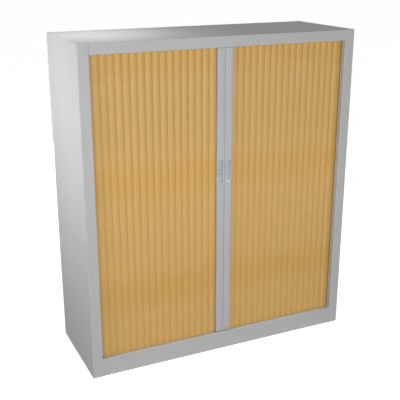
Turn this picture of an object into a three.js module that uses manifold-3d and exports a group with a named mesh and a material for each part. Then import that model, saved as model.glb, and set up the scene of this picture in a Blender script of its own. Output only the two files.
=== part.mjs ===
// Tambour door cabinet: a free-standing office cupboard of folded sheet steel whose two doors are
// curtains of interlocked vertical slats. Each curtain hangs between a lower and an upper track, is
// drawn by an aluminium lead rail with a moulded grip, and goes round the corner of the cabinet into
// the space between the side panel and an inner lining. Three shelves hook into the linings, and
// four levelling feet screw into the base.
//
// Millimetres, Z up. The origin is on the floor under the middle of the cabinet, the doors face -Y
// and +X is to the right of someone who stands in front of them. The doors are shut.

import * as THREE from 'three';
import { mergeVertices } from 'three/addons/utils/BufferGeometryUtils.js';
import Module from 'manifold-3d';

// The cabinet
const WIDTH = 1200;
const DEPTH = 430;
const HEIGHT = 1360;
const FRAME_FACE = 44; // uprights and top rail, seen from the front
const PLINTH_HEIGHT = 78;
const SLAT_RECESS = 20; // from the front of the frame to the crests of the slats

// Folded sheet
const SHEET = 1;
const BEND_RADIUS = 1; // on the inside of a fold
const BASE_HEM = 15;
const REVEAL_HEM = 10;
const REAR_RETURN = 25;
const TOP_REAR_FLANGE = 20;

// Clearances
const FIT = 0.3; // between pieces that seat on each other
const CENTRE_GAP = 1; // between the two lead rails
const DOOR_STOP_GAP = 4; // between an open lead rail and the upright
const OVERRUN = 1; // how far a cut runs past the face that it opens

// Slats
const SLATS_PER_DOOR = 18;
const TAIL_COVER = 18; // what the last slat covers behind the upright
const RIB_GAP = 1; // the groove between two ribs
const RIB_RISE = 2.2; // crown of the rib
const RIB_WALL = 2;
const BEAD_RADIUS = 2;
const HOOK_WALL = 1.2;
const NECK = 1.4; // web between a rib and its bead
const BEAD_INSET = 1.5; // from the pitch line to the centre of bead and hook
const BEAD_DEPTH = 5; // from the crest to the centre of bead and hook
const SLAT_TOP_PLAY = 1.5; // below the web of the upper track, where the slats can be lifted
const HOOK_ROOT_ANGLE = -38; // where the hook leaves the rib, in degrees from the way the slats run
const HOOK_LIP_ANGLE = 112; // where the hook ends, behind the bead
const HOOK_JAW_ANGLE = -110; // where the leading edge of the rib closes the hook in front

// Tracks
const TRACK_HEIGHT = 9;
const TRACK_WEB = 2;
const TRACK_WALL = 2;
const GROOVE = 12;
const TRACK_RADIUS = 40; // of the middle of the groove, round each corner
const TRACK_TAIL_ROOM = 10; // past the last slat when the door is open
const TRACK_REAR_SPACE = 6; // between the track and the back panel

// Lead rails
const LEAD_WIDTH = 34; // from the middle of the cabinet to the first pitch line
const LEAD_DEPTH = 21;
const LEAD_PROUD = 10; // how far the rail stands in front of the crests
const LEAD_WALL = 1.6;
const LEAD_EDGE_RADIUS = 3;
const LEAD_INNER_RADIUS = 1.2;
const LEAD_FOOT_GAP = 4; // between the rail and the sill
const LEAD_HEAD_GAP = 2; // between the rail and the top rail of the frame
const LEAD_CAP = 2;
const SHOE_LENGTH = 22;
const SHOE_INSET = 6; // from the meeting edge to the shoe
const SHOE_THICKNESS = 8;
const SHOE_ON_CURVE = 4; // how far the shoe of an open door may run onto the curve of the track

// Grips and lock
const GRIP_HEIGHT_ABOVE_FLOOR = 812;
const GRIP_WIDTH = 27;
const GRIP_LENGTH = 102;
const GRIP_FLANGE = 1.2;
const GRIP_RIM = 1.8; // how far the flange laps over the cup all round
const GRIP_CUP_DEPTH = 10;
const GRIP_WALL = 1.6;
const GRIP_CORNER = 7;
const LOCK_RADIUS = 7;
const LOCK_BOSS_WALL = 2.2;
const LOCK_PROUD = 0.6;
const LOCK_SHY = 1.2; // how far the boss stops short of the flange
const LOCK_BODY_LENGTH = 14;
const KEYWAY_WIDTH = 1.4;
const KEYWAY_LENGTH = 8;
const KEYWAY_DEPTH = 3;
const HOOK_THICKNESS = 2;
const HOOK_HUB_RADIUS = 6.5;
const HOOK_REACH = 24;
const HOOK_WIDTH = 10;
const HOOK_THROAT = 3.5;
const HOOK_PLAY = 1;

// Inner lining
const LINING_TRACK_GAP = 5; // between the lining and the side run of the track
const LINING_HEM = 10;
const LINING_FRONT_SETBACK = 10; // how far the hem stays in front of the centre of the front curve
const LINING_TAIL_GAP = 4; // from the tail of the track to the fold that closes the pocket

// Shelves and their slots
const SHELF_COUNT = 3;
const SHELF_HEIGHT = 25;
const SHELF_FRONT_GAP = 4; // behind the hem of the lining
const SHELF_REAR_GAP = 4; // in front of the rear run of the lining
const TAB_WIDTH = 12;
const TAB_HEIGHT = 5;
const TAB_REACH = 4; // past the outside of the lining
const TAB_BELOW_TOP = 10;
const SLOT_PLAY = 1;
const SLOT_ROWS_PER_LEVEL = 3;
const SLOT_COLUMN_INSET = 45; // from each edge of the shelf

// Back panel
const SWAGE_WIDTH = 34;
const SWAGE_DEPTH = 4;
const SWAGE_END = 110; // plain sheet above the floor and below the ceiling
const SWAGE_PLACE_SHARE = 0.3; // of half the width, from the middle

// Levelling feet
const FOOT_INSET_X = 100;
const FOOT_INSET_Y = 65;
const FOOT_PAD_RADIUS = 16;
const FOOT_PAD_HEIGHT = 8;
const FOOT_PAD_BEVEL = 2;
const FOOT_LIFT = 2; // the pad's height above the floor when the foot is screwed in
const STUD_RADIUS = 4;
const STUD_TOP_GAP = 3; // from the end of the stud to the floor of the cupboard
const BUSH_RADIUS = 8;
const BUSH_LENGTH = 38;

// Facets
const BEND_STEPS = 2;
const TRACK_STEPS = 7;
const RIB_STEPS = 8;
const BEAD_STEPS = 7;
const HOOK_STEPS = 7;
const CORNER_STEPS = 4;
const ROUND_STEPS = 16;

// Places that follow from the sizes
const halfWidth = WIDTH / 2;
const front = -DEPTH / 2;
const rear = DEPTH / 2;
const openingHalf = halfWidth - FRAME_FACE;
const sillZ = PLINTH_HEIGHT;
const headZ = HEIGHT - FRAME_FACE;
const floorZ = sillZ - TRACK_HEIGHT;
const ceilingZ = headZ + TRACK_HEIGHT;

const hookInner = BEAD_RADIUS + FIT;
const hookOuter = hookInner + HOOK_WALL;
const slatDepth = BEAD_DEPTH + hookOuter;
const crestY = front + SLAT_RECESS;
const curtainY = crestY + slatDepth / 2;
const beadY = crestY + BEAD_DEPTH;
const slatPitch = (openingHalf + TAIL_COVER - LEAD_WIDTH) / SLATS_PER_DOOR;
const slatBottomZ = floorZ + TRACK_WEB + FIT;
const slatTopZ = ceilingZ - TRACK_WEB - SLAT_TOP_PLAY;
const doorTravel = openingHalf - LEAD_WIDTH - DOOR_STOP_GAP;

const trackHalf = GROOVE / 2 + TRACK_WALL;
const trackFront = curtainY - trackHalf;
const revealBack = trackFront - BEND_RADIUS;
const backPanelFace = rear - SHEET;
const backPanelInner = backPanelFace - SHEET;
const trackRear = backPanelInner - TRACK_REAR_SPACE;
const trackRearLine = trackRear - trackHalf;
const leadSpan = LEAD_WIDTH - CENTRE_GAP / 2 - RIB_GAP / 2;
const shoeEnd = CENTRE_GAP / 2 + SHOE_INSET + SHOE_LENGTH;
const curveStartX = doorTravel + shoeEnd - SHOE_ON_CURVE;
const curveStartY = curtainY + TRACK_RADIUS;
const trackSideLine = curveStartX + TRACK_RADIUS;
const trackOuterX = trackSideLine + trackHalf;
const cornerRun = Math.PI * TRACK_RADIUS / 2;
const rearCurveY = trackRearLine - TRACK_RADIUS;
const curtainTail = doorTravel + openingHalf + TAIL_COVER + BEAD_INSET + BEAD_RADIUS;
const rearRun = curtainTail - curveStartX - 2 * cornerRun - (rearCurveY - curveStartY);
const trackTailX = curveStartX - rearRun - TRACK_TAIL_ROOM;

const liningOuterX = trackSideLine - trackHalf - LINING_TRACK_GAP;
const liningInnerX = liningOuterX - SHEET;
const liningCurve = liningOuterX - curveStartX;
const liningRearY = rearCurveY + liningCurve;
const liningFrontY = curveStartY - LINING_FRONT_SETBACK;
const liningFoldX = trackTailX - LINING_TAIL_GAP;

const shelfHalf = liningInnerX - FIT;
const shelfFront = liningFrontY + SHEET + SHELF_FRONT_GAP;
const shelfRear = liningRearY - SHEET - SHELF_REAR_GAP;
const levelHeight = (ceilingZ - floorZ) / (SHELF_COUNT + 1);
const slotRowPitch = levelHeight / SLOT_ROWS_PER_LEVEL;
const tabColumns = [shelfFront + SLOT_COLUMN_INSET, shelfRear - SLOT_COLUMN_INSET];

const gripX = LEAD_WIDTH / 2;
const gripZ = GRIP_HEIGHT_ABOVE_FLOOR;
const leadFront = crestY - LEAD_PROUD;
const leadBack = leadFront + LEAD_DEPTH;
const leadBottomZ = sillZ + LEAD_FOOT_GAP;
const leadTopZ = headZ - LEAD_HEAD_GAP;
const cupWidth = GRIP_WIDTH - 2 * GRIP_RIM;
const cupLength = GRIP_LENGTH - 2 * GRIP_RIM;
const cupBack = leadFront + GRIP_CUP_DEPTH;
const barrelFront = leadFront - GRIP_FLANGE - LOCK_PROUD + LOCK_SHY;
const barrelBack = barrelFront + LOCK_BODY_LENGTH;

const wasm = await Module();
wasm.setup();

// A geometry as a solid that can be cut and joined.
function toSolid(geometry) {
  const bare = geometry.clone();
  bare.deleteAttribute('normal');
  bare.deleteAttribute('uv');
  const merged = mergeVertices(bare);
  return new wasm.Manifold(new wasm.Mesh({
    numProp: 3,
    vertProperties: Float32Array.from(merged.attributes.position.array),
    triVerts: Uint32Array.from(merged.index.array),
  }));
}

function toGeometry(solid) {
  const { vertProperties, triVerts } = solid.getMesh();
  const geometry = new THREE.BufferGeometry();
  geometry.setAttribute('position', new THREE.BufferAttribute(Float32Array.from(vertProperties), 3));
  geometry.setIndex(new THREE.BufferAttribute(Uint32Array.from(triVerts), 1));
  geometry.computeVertexNormals();
  return geometry;
}

function cut(geometry, tools) {
  const left = tools.reduce((solid, tool) => solid.subtract(toSolid(tool)), toSolid(geometry));
  return toGeometry(left);
}

function join(geometry, pieces) {
  const whole = pieces.reduce((solid, piece) => solid.add(toSolid(piece)), toSolid(geometry));
  return toGeometry(whole);
}

function toShape(points) {
  return new THREE.Shape(points.map(([x, y]) => new THREE.Vector2(x, y)));
}

function mirrored(points) {
  return points.map(([x, y]) => [-x, y]);
}

// Points on an arc, both ends included. Angles are in degrees, anticlockwise from the first axis.
function arcPoints([cx, cy], radius, from, to, steps) {
  return Array.from({ length: steps + 1 }, (_, i) => {
    const angle = THREE.MathUtils.degToRad(from + (to - from) * i / steps);
    return [cx + radius * Math.cos(angle), cy + radius * Math.sin(angle)];
  });
}

// A rectangle round a centre with its corners rounded.
function roundedRectangle([cx, cy], width, height, radius) {
  const x = width / 2 - radius;
  const y = height / 2 - radius;
  return [
    ...arcPoints([cx + x, cy + y], radius, 0, 90, CORNER_STEPS),
    ...arcPoints([cx - x, cy + y], radius, 90, 180, CORNER_STEPS),
    ...arcPoints([cx - x, cy - y], radius, 180, 270, CORNER_STEPS),
    ...arcPoints([cx + x, cy - y], radius, 270, 360, CORNER_STEPS),
  ];
}

// The outline of a sheet whose outer face runs through the given corners, with its thickness to the
// right of the way it runs. A corner may carry an inner radius and a number of steps of its own.
function foldedOutline(corners, thickness) {
  const outer = [];
  const inner = [];
  const last = corners.length - 1;
  corners.forEach(([x, y, radius = BEND_RADIUS, steps = BEND_STEPS], i) => {
    const here = new THREE.Vector2(x, y);
    const before = i > 0 ? here.clone().sub(new THREE.Vector2(...corners[i - 1])).normalize() : null;
    const after = i < last ? new THREE.Vector2(...corners[i + 1]).sub(here).normalize() : null;
    if (!before || !after) {
      const way = before ?? after;
      outer.push([x, y]);
      inner.push([x + way.y * thickness, y - way.x * thickness]);
      return;
    }
    const turn = Math.atan2(before.cross(after), before.dot(after));
    const outerRadius = turn < 0 ? radius + thickness : radius;
    const innerRadius = turn < 0 ? radius : radius + thickness;
    const side = Math.sign(turn);
    const reach = outerRadius * Math.tan(Math.abs(turn) / 2);
    const centre = [
      x - before.x * reach - side * before.y * outerRadius,
      y - before.y * reach + side * before.x * outerRadius,
    ];
    const start = THREE.MathUtils.radToDeg(Math.atan2(-side * before.x, side * before.y));
    const end = start + THREE.MathUtils.radToDeg(turn);
    outer.push(...arcPoints(centre, outerRadius, start, end, steps));
    inner.push(...arcPoints(centre, innerRadius, start, end, steps));
  });
  return [...outer, ...inner.reverse()];
}

// Outlines seen from above, carried up from one height to another.
function extrudeUp(points, fromZ, toZ) {
  const geometry = new THREE.ExtrudeGeometry(toShape(points), { depth: toZ - fromZ, bevelEnabled: false });
  return geometry.translate(0, 0, fromZ);
}

// Outlines seen from the side, as [y, z], carried across the cabinet.
const ACROSS = new THREE.Matrix4().makeBasis(
  new THREE.Vector3(0, 1, 0), new THREE.Vector3(0, 0, 1), new THREE.Vector3(1, 0, 0));

function extrudeAcross(points, halfLength) {
  const options = { depth: 2 * halfLength, bevelEnabled: false };
  const geometry = new THREE.ExtrudeGeometry(toShape(points), options);
  return geometry.applyMatrix4(ACROSS).translate(-halfLength, 0, 0);
}

// Outlines seen from the front, as [x, z], carried from one depth to another.
const INWARD = new THREE.Matrix4().makeBasis(
  new THREE.Vector3(1, 0, 0), new THREE.Vector3(0, 0, 1), new THREE.Vector3(0, -1, 0));

function extrudeInward(points, fromY, toY) {
  const geometry = new THREE.ExtrudeGeometry(toShape(points), { depth: toY - fromY, bevelEnabled: false });
  return geometry.applyMatrix4(INWARD).translate(0, toY, 0);
}

function block([x0, x1], [y0, y1], [z0, z1]) {
  const geometry = new THREE.BoxGeometry(x1 - x0, y1 - y0, z1 - z0);
  return geometry.translate((x0 + x1) / 2, (y0 + y1) / 2, (z0 + z1) / 2);
}

// The same range on the left or on the right of the cabinet.
function onSide(side, [near, far]) {
  return side > 0 ? [near, far] : [-far, -near];
}

function upright(radius, fromZ, toZ) {
  const geometry = new THREE.CylinderGeometry(radius, radius, toZ - fromZ, ROUND_STEPS);
  return geometry.rotateX(Math.PI / 2).translate(0, 0, (fromZ + toZ) / 2);
}

function material(color, roughness, metalness) {
  return new THREE.MeshStandardMaterial({ color, roughness, metalness });
}

const paintedSteel = material(0xb4b6b8, 0.42, 0.35);
const beechSlat = material(0xcfa468, 0.5, 0);
const anodised = material(0xb2b4b8, 0.38, 0.6);
const greyPlastic = material(0x9a9ca0, 0.55, 0);
const trackPlastic = material(0xc4c2bc, 0.5, 0);
const zincSteel = material(0xa8a9a6, 0.35, 0.8);

const cabinet = new THREE.Group();

function place(parent, name, geometry, finish, position = [0, 0, 0], turn = 0) {
  const mesh = new THREE.Mesh(geometry, finish);
  mesh.name = name;
  mesh.position.set(...position);
  mesh.rotation.z = turn;
  parent.add(mesh);
}

// Side panel: the outer wall, the front upright with its reveal and hem, and the rear return, all
// folded from one sheet. Above the edge of the top sheet only the outside of the fold is left.
function sidePanel(side) {
  const outline = foldedOutline([
    [-openingHalf - REVEAL_HEM, revealBack],
    [-openingHalf, revealBack],
    [-openingHalf, front],
    [-halfWidth, front],
    [-halfWidth, rear],
    [-halfWidth + REAR_RETURN, rear],
  ], SHEET);
  const panel = extrudeUp(side < 0 ? outline : mirrored(outline), 0, HEIGHT);
  const topSeat = block(
    onSide(side, [openingHalf - OVERRUN, halfWidth - SHEET]),
    [front + SHEET, rear - SHEET],
    [HEIGHT - SHEET, HEIGHT + OVERRUN],
  );
  return cut(panel, [topSeat]);
}

// Top panel: one sheet that makes the outer top, the front rail, the lip under it and the inner
// ceiling that carries the upper tracks. It is notched round the two uprights and rear returns.
function topPanel() {
  const outline = foldedOutline([
    [backPanelInner, ceilingZ],
    [revealBack, ceilingZ],
    [revealBack, headZ],
    [front, headZ],
    [front, HEIGHT],
    [rear, HEIGHT],
    [rear, HEIGHT - TOP_REAR_FLANGE],
  ], SHEET);
  const panel = extrudeAcross(outline, halfWidth - SHEET);
  const notch = (side, fromX, depths, topZ) => (
    block(onSide(side, [fromX, halfWidth + OVERRUN]), depths, [headZ - OVERRUN, topZ])
  );
  const notches = [-1, 1].flatMap((side) => [
    notch(side, openingHalf, [front - OVERRUN, front + SHEET], HEIGHT + OVERRUN),
    notch(side, openingHalf, [front - OVERRUN, revealBack], HEIGHT - SHEET),
    notch(side, halfWidth - REAR_RETURN, [backPanelFace, rear + OVERRUN], HEIGHT + OVERRUN),
    notch(side, halfWidth - REAR_RETURN, [backPanelInner, rear + OVERRUN], HEIGHT - SHEET),
  ]);
  return cut(panel, notches);
}

// Base panel: one sheet that makes the plinth, the sill, the floor of the cupboard and the rear
// skirt, with a welded bush for each levelling foot.
const footPlaces = [-1, 1].flatMap((x) => [-1, 1].map((y) => (
  [x * (halfWidth - FOOT_INSET_X), y * (DEPTH / 2 - FOOT_INSET_Y)]
)));

function basePanel() {
  const outline = foldedOutline([
    [front + BASE_HEM, 0],
    [front, 0],
    [front, sillZ],
    [revealBack, sillZ],
    [revealBack, floorZ],
    [backPanelInner, floorZ],
    [backPanelInner, 0],
    [backPanelInner - BASE_HEM, 0],
  ], SHEET);
  const sheet = extrudeAcross(outline, halfWidth - SHEET);
  const notches = [-1, 1].map((side) => block(
    onSide(side, [openingHalf, halfWidth + OVERRUN]),
    [front - OVERRUN, revealBack],
    [-OVERRUN, sillZ + OVERRUN],
  ));
  const bushes = footPlaces.map(([x, y]) => (
    upright(BUSH_RADIUS, floorZ - BUSH_LENGTH, floorZ - SHEET / 2).translate(x, y, 0)
  ));
  const bores = footPlaces.map(([x, y]) => (
    upright(STUD_RADIUS + FIT, floorZ - BUSH_LENGTH - OVERRUN, floorZ + OVERRUN).translate(x, y, 0)
  ));
  return cut(join(sheet, bushes), [...notches, ...bores]);
}

// Back panel: a flat sheet stiffened by two swages pressed inwards.
function backPanel() {
  const half = halfWidth - SHEET - BEND_RADIUS - FIT;
  const [bottom, top] = [FIT, HEIGHT - SHEET - BEND_RADIUS - FIT];
  const [swageBottom, swageTop] = [floorZ + SWAGE_END, ceilingZ - SWAGE_END];
  const sheet = block([-half, half], [backPanelInner, backPanelFace], [bottom, top]);
  const swage = (x, depth, face, end) => extrudeUp([
    [x - SWAGE_WIDTH / 2 + depth, face],
    [x - SWAGE_WIDTH / 2 + depth + SWAGE_DEPTH, face - SWAGE_DEPTH],
    [x + SWAGE_WIDTH / 2 - depth - SWAGE_DEPTH, face - SWAGE_DEPTH],
    [x + SWAGE_WIDTH / 2 - depth, face],
  ], swageBottom + end, swageTop - end);
  const places = [-1, 1].map((side) => side * halfWidth * SWAGE_PLACE_SHARE);
  const ribs = places.map((x) => swage(x, 0, backPanelInner, 0));
  const hollows = places.flatMap((x) => [
    swage(x, SHEET, backPanelFace, SHEET),
    block(
      [x - SWAGE_WIDTH / 2 + SHEET, x + SWAGE_WIDTH / 2 - SHEET],
      [backPanelFace, backPanelFace + OVERRUN],
      [swageBottom + SHEET, swageTop - SHEET],
    ),
  ]);
  return cut(join(sheet, ribs), hollows);
}

// Inner lining: the wall between the cupboard and the space that takes the open curtain. It hems
// inwards at the front, follows the curve of the track at the rear and folds back to the back panel
// past the tail of the track. The shelves hook into its two columns of slots.
function lining(side) {
  const outline = foldedOutline([
    [-liningOuterX + LINING_HEM, liningFrontY],
    [-liningOuterX, liningFrontY],
    [-liningOuterX, liningRearY, liningCurve - SHEET, TRACK_STEPS],
    [-liningFoldX, liningRearY],
    [-liningFoldX, backPanelInner],
  ], SHEET);
  const wall = extrudeUp(side < 0 ? outline : mirrored(outline), floorZ, ceilingZ - FIT);
  const rows = (SHELF_COUNT + 1) * SLOT_ROWS_PER_LEVEL - 2 * (SLOT_ROWS_PER_LEVEL - 1) + 1;
  const slots = Array.from({ length: rows }, (_, i) => (
    floorZ + (i + SLOT_ROWS_PER_LEVEL - 1) * slotRowPitch - TAB_BELOW_TOP
  )).flatMap((z) => tabColumns.map((y) => block(
    onSide(side, [liningInnerX - OVERRUN, liningOuterX + OVERRUN]),
    [y - TAB_WIDTH / 2 - SLOT_PLAY, y + TAB_WIDTH / 2 + SLOT_PLAY],
    [z - TAB_HEIGHT - FIT, z + SLOT_PLAY],
  )));
  return cut(wall, slots);
}

// Shelf: a tray turned upside down, its rear corners cut off to clear the curve of the linings,
// with two tabs at each end that go through slots of the lining and rest on their lower edges.
function shelf(topZ) {
  const plan = (inset) => {
    const x = shelfHalf - inset;
    const y = shelfRear - inset;
    const corner = liningCurve;
    return [[-x, shelfFront + inset], [x, shelfFront + inset], [x, y - corner],
      [x - corner, y], [-x + corner, y], [-x, y - corner]];
  };
  const tray = extrudeUp(plan(0), topZ - SHELF_HEIGHT, topZ);
  const hollow = extrudeUp(plan(SHEET), topZ - SHELF_HEIGHT - OVERRUN, topZ - SHEET);
  const tabs = [-1, 1].flatMap((side) => tabColumns.map((y) => block(
    onSide(side, [shelfHalf - SHEET, liningOuterX + TAB_REACH]),
    [y - TAB_WIDTH / 2, y + TAB_WIDTH / 2],
    [topZ - TAB_BELOW_TOP - TAB_HEIGHT, topZ - TAB_BELOW_TOP],
  )));
  return join(cut(tray, [hollow]), tabs);
}

// Track: a channel that runs behind the front frame, round the corner, along the side, round the
// rear corner and along the back. Its groove is open at the middle of the cabinet and stopped at
// its tail.
function track(side, webZ, rimZ) {
  const band = (inset, start, tail) => {
    const outline = foldedOutline([
      [start, trackFront + inset],
      [-trackOuterX + inset, trackFront + inset, TRACK_RADIUS - trackHalf + inset, TRACK_STEPS],
      [-trackOuterX + inset, trackRear - inset, TRACK_RADIUS - trackHalf + inset, TRACK_STEPS],
      [-tail, trackRear - inset],
    ], 2 * (trackHalf - inset));
    return side < 0 ? outline : mirrored(outline);
  };
  const up = Math.sign(rimZ - webZ);
  const channel = extrudeUp(band(0, -FIT / 2, trackTailX), Math.min(webZ, rimZ), Math.max(webZ, rimZ));
  const grooveEnds = [webZ + up * TRACK_WEB, rimZ + up * OVERRUN];
  const groove = extrudeUp(
    band(TRACK_WALL, OVERRUN, trackTailX + TRACK_WALL), Math.min(...grooveEnds), Math.max(...grooveEnds));
  return cut(channel, [groove]);
}

// Slat: a crowned rib with a round bead on its trailing edge and an open hook behind its leading
// edge, which holds the bead of the piece before it. The outline is drawn from the pitch line away
// from the middle of the cabinet and from the crest to the back, then moved so that the slat turns
// about the centre of its hook.
function slatOutline() {
  const start = RIB_GAP / 2;
  const end = slatPitch - RIB_GAP / 2;
  const crown = (share) => RIB_RISE * (2 * share - 1) ** 2;
  const along = (from, to, steps, behind) => Array.from({ length: steps + 1 }, (_, i) => {
    const x = from + (to - from) * i / steps;
    return [x, crown((x - start) / (end - start)) + behind];
  });
  const neckAngle = THREE.MathUtils.radToDeg(Math.asin(NECK / 2 / BEAD_RADIUS));
  const bead = [slatPitch + BEAD_INSET, BEAD_DEPTH];
  const socket = [BEAD_INSET, BEAD_DEPTH];
  const rootX = end - hookInner;
  return [
    ...along(start, end, RIB_STEPS, 0),
    [end, BEAD_DEPTH - NECK / 2],
    ...arcPoints(bead, BEAD_RADIUS, neckAngle - 180, 180 - neckAngle, BEAD_STEPS),
    [rootX, BEAD_DEPTH + NECK / 2],
    ...along(rootX - RIB_WALL, socket[0] + hookOuter + RIB_WALL / 2, RIB_STEPS / 2, RIB_WALL),
    ...arcPoints(socket, hookOuter, HOOK_ROOT_ANGLE, HOOK_LIP_ANGLE, HOOK_STEPS),
    ...arcPoints(socket, hookInner, HOOK_LIP_ANGLE, HOOK_JAW_ANGLE, HOOK_STEPS),
  ].map(([x, y]) => [x - BEAD_INSET, y - BEAD_DEPTH]);
}

const runningSlat = slatOutline();

function slat(side) {
  return extrudeUp(side > 0 ? runningSlat : mirrored(runningSlat), 0, slatTopZ - slatBottomZ);
}

// Where the hook of each slat turns when the door is shut, and how far the slat is turned: not at
// all on the straight, and on the curve so that its own bead lies on the line of the track too.
function hangSlats() {
  const radius = curveStartY - beadY;
  const centre = new THREE.Vector2(curveStartX, curveStartY);
  const hinge = new THREE.Vector2(LEAD_WIDTH + BEAD_INSET, beadY);
  return Array.from({ length: SLATS_PER_DOOR }, () => {
    const inward = centre.clone().sub(hinge);
    const reach = inward.length();
    const share = (reach ** 2 + slatPitch ** 2 - radius ** 2) / (2 * reach * slatPitch);
    const angle = hinge.x + slatPitch <= curveStartX ? 0 : inward.angle() - Math.acos(share);
    const hung = { x: hinge.x, y: hinge.y, angle };
    hinge.x += slatPitch * Math.cos(angle);
    hinge.y += slatPitch * Math.sin(angle);
    return hung;
  });
}

// Lead rail: a hollow aluminium section with a bead for the first slat, a cap and a shoe at each
// end, an opening for the grip and a slot in its meeting edge for the hook of the lock.
function leadRail(side) {
  const near = CENTRE_GAP / 2;
  const far = near + leadSpan;
  const beadCentre = [LEAD_WIDTH + BEAD_INSET, beadY];
  const neckAngle = THREE.MathUtils.radToDeg(Math.asin(NECK / 2 / BEAD_RADIUS));
  const outline = [
    ...arcPoints([near + LEAD_INNER_RADIUS, leadFront + LEAD_INNER_RADIUS], LEAD_INNER_RADIUS,
      180, 270, CORNER_STEPS / 2),
    ...arcPoints([far - LEAD_EDGE_RADIUS, leadFront + LEAD_EDGE_RADIUS], LEAD_EDGE_RADIUS,
      270, 360, CORNER_STEPS),
    [far, beadCentre[1] - NECK / 2],
    ...arcPoints(beadCentre, BEAD_RADIUS, neckAngle - 180, 180 - neckAngle, BEAD_STEPS),
    [far, beadCentre[1] + NECK / 2],
    [far, leadBack],
    [near, leadBack],
  ];
  const section = extrudeUp(side > 0 ? outline : mirrored(outline), leadBottomZ, leadTopZ);
  const cavity = block(
    onSide(side, [near + LEAD_WALL, far - LEAD_WALL]),
    [leadFront + LEAD_WALL, leadBack - LEAD_WALL],
    [leadBottomZ + LEAD_CAP, leadTopZ - LEAD_CAP],
  );
  const gripOpening = extrudeInward(
    roundedRectangle([side * gripX, gripZ], cupWidth + 2 * FIT, cupLength + 2 * FIT, GRIP_CORNER - GRIP_RIM),
    leadFront - OVERRUN, leadFront + LEAD_WALL + OVERRUN);
  const hookSlot = block(
    onSide(side, [near - OVERRUN, near + LEAD_WALL + OVERRUN]),
    [barrelBack - HOOK_PLAY, barrelBack + HOOK_THICKNESS + HOOK_PLAY],
    [gripZ - HOOK_REACH, gripZ + HOOK_WIDTH / 2 + HOOK_PLAY],
  );
  const shoe = (fromZ, toZ) => block(
    onSide(side, [near + SHOE_INSET, near + SHOE_INSET + SHOE_LENGTH]),
    [curtainY - SHOE_THICKNESS / 2, curtainY + SHOE_THICKNESS / 2],
    [fromZ, toZ],
  );
  return join(cut(section, [cavity, gripOpening, hookSlot]), [
    shoe(slatBottomZ, leadBottomZ + LEAD_CAP / 2),
    shoe(leadTopZ - LEAD_CAP / 2, slatTopZ),
  ]);
}

// Grip: a moulded cup set into the front of the lead rail, with a flange that laps over the rail.
// The left one has a boss in its middle that carries the barrel of the lock.
function grip(side) {
  const centre = [side * gripX, gripZ];
  const flange = extrudeInward(
    roundedRectangle(centre, GRIP_WIDTH, GRIP_LENGTH, GRIP_CORNER), leadFront - GRIP_FLANGE, leadFront);
  const cup = extrudeInward(
    roundedRectangle(centre, cupWidth, cupLength, GRIP_CORNER - GRIP_RIM), leadFront - GRIP_FLANGE / 2, cupBack);
  const recess = extrudeInward(
    roundedRectangle(centre, cupWidth - 2 * GRIP_WALL, cupLength - 2 * GRIP_WALL,
      GRIP_CORNER - GRIP_RIM - GRIP_WALL),
    leadFront - GRIP_FLANGE - OVERRUN, cupBack - GRIP_WALL);
  const shell = cut(join(flange, [cup]), [recess]);
  if (side > 0) {
    return shell;
  }
  const disc = (radius, fromY, toY) => (
    new THREE.CylinderGeometry(radius, radius, toY - fromY, ROUND_STEPS)
      .translate(centre[0], (fromY + toY) / 2, gripZ)
  );
  const boss = disc(LOCK_RADIUS + FIT + LOCK_BOSS_WALL, leadFront - GRIP_FLANGE + LOCK_SHY, cupBack - GRIP_WALL / 2);
  const bore = disc(LOCK_RADIUS + FIT, leadFront - GRIP_FLANGE - OVERRUN, cupBack + OVERRUN);
  return cut(join(shell, [boss]), [bore]);
}

// Lock: a turning barrel with a keyway, and the hook on its inner end, which hangs down in the left
// rail when unlocked and reaches through both slots into the right rail after a quarter turn.
function lockBarrel() {
  const barrel = new THREE.CylinderGeometry(LOCK_RADIUS, LOCK_RADIUS, LOCK_BODY_LENGTH, ROUND_STEPS);
  const keyway = block(
    [-KEYWAY_WIDTH / 2, KEYWAY_WIDTH / 2],
    [-LOCK_BODY_LENGTH / 2 - OVERRUN, KEYWAY_DEPTH - LOCK_BODY_LENGTH / 2],
    [-KEYWAY_LENGTH / 2, KEYWAY_LENGTH / 2],
  );
  return cut(barrel, [keyway]);
}

function lockHook() {
  const half = HOOK_WIDTH / 2;
  const armAngle = THREE.MathUtils.radToDeg(Math.acos(half / HOOK_HUB_RADIUS));
  const outline = [
    ...arcPoints([0, 0], HOOK_HUB_RADIUS, -armAngle, 180 + armAngle, ROUND_STEPS / 2),
    [-half, -HOOK_REACH + half / 2],
    [-half / 2, -HOOK_REACH],
    [half / 2, -HOOK_REACH],
    [half, -HOOK_REACH + half / 2],
    [half, -HOOK_REACH + half],
    [half - HOOK_THROAT, -HOOK_REACH + half],
    [half - HOOK_THROAT, -HOOK_REACH + half + HOOK_THROAT],
    [half, -HOOK_REACH + half + HOOK_THROAT],
  ];
  return extrudeInward(outline, 0, HOOK_THICKNESS);
}

// Levelling foot: a pad on a threaded stud, turned as one round piece.
function levellingFoot() {
  const profile = [
    [0, 0],
    [FOOT_PAD_RADIUS - FOOT_PAD_BEVEL, 0],
    [FOOT_PAD_RADIUS, FOOT_PAD_BEVEL],
    [FOOT_PAD_RADIUS - FOOT_PAD_BEVEL, FOOT_PAD_HEIGHT],
    [STUD_RADIUS, FOOT_PAD_HEIGHT],
    [STUD_RADIUS, floorZ - STUD_TOP_GAP - FOOT_LIFT],
    [0, floorZ - STUD_TOP_GAP - FOOT_LIFT],
  ].map(([radius, height]) => new THREE.Vector2(radius, height));
  return new THREE.LatheGeometry(profile, ROUND_STEPS).rotateX(Math.PI / 2);
}

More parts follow.
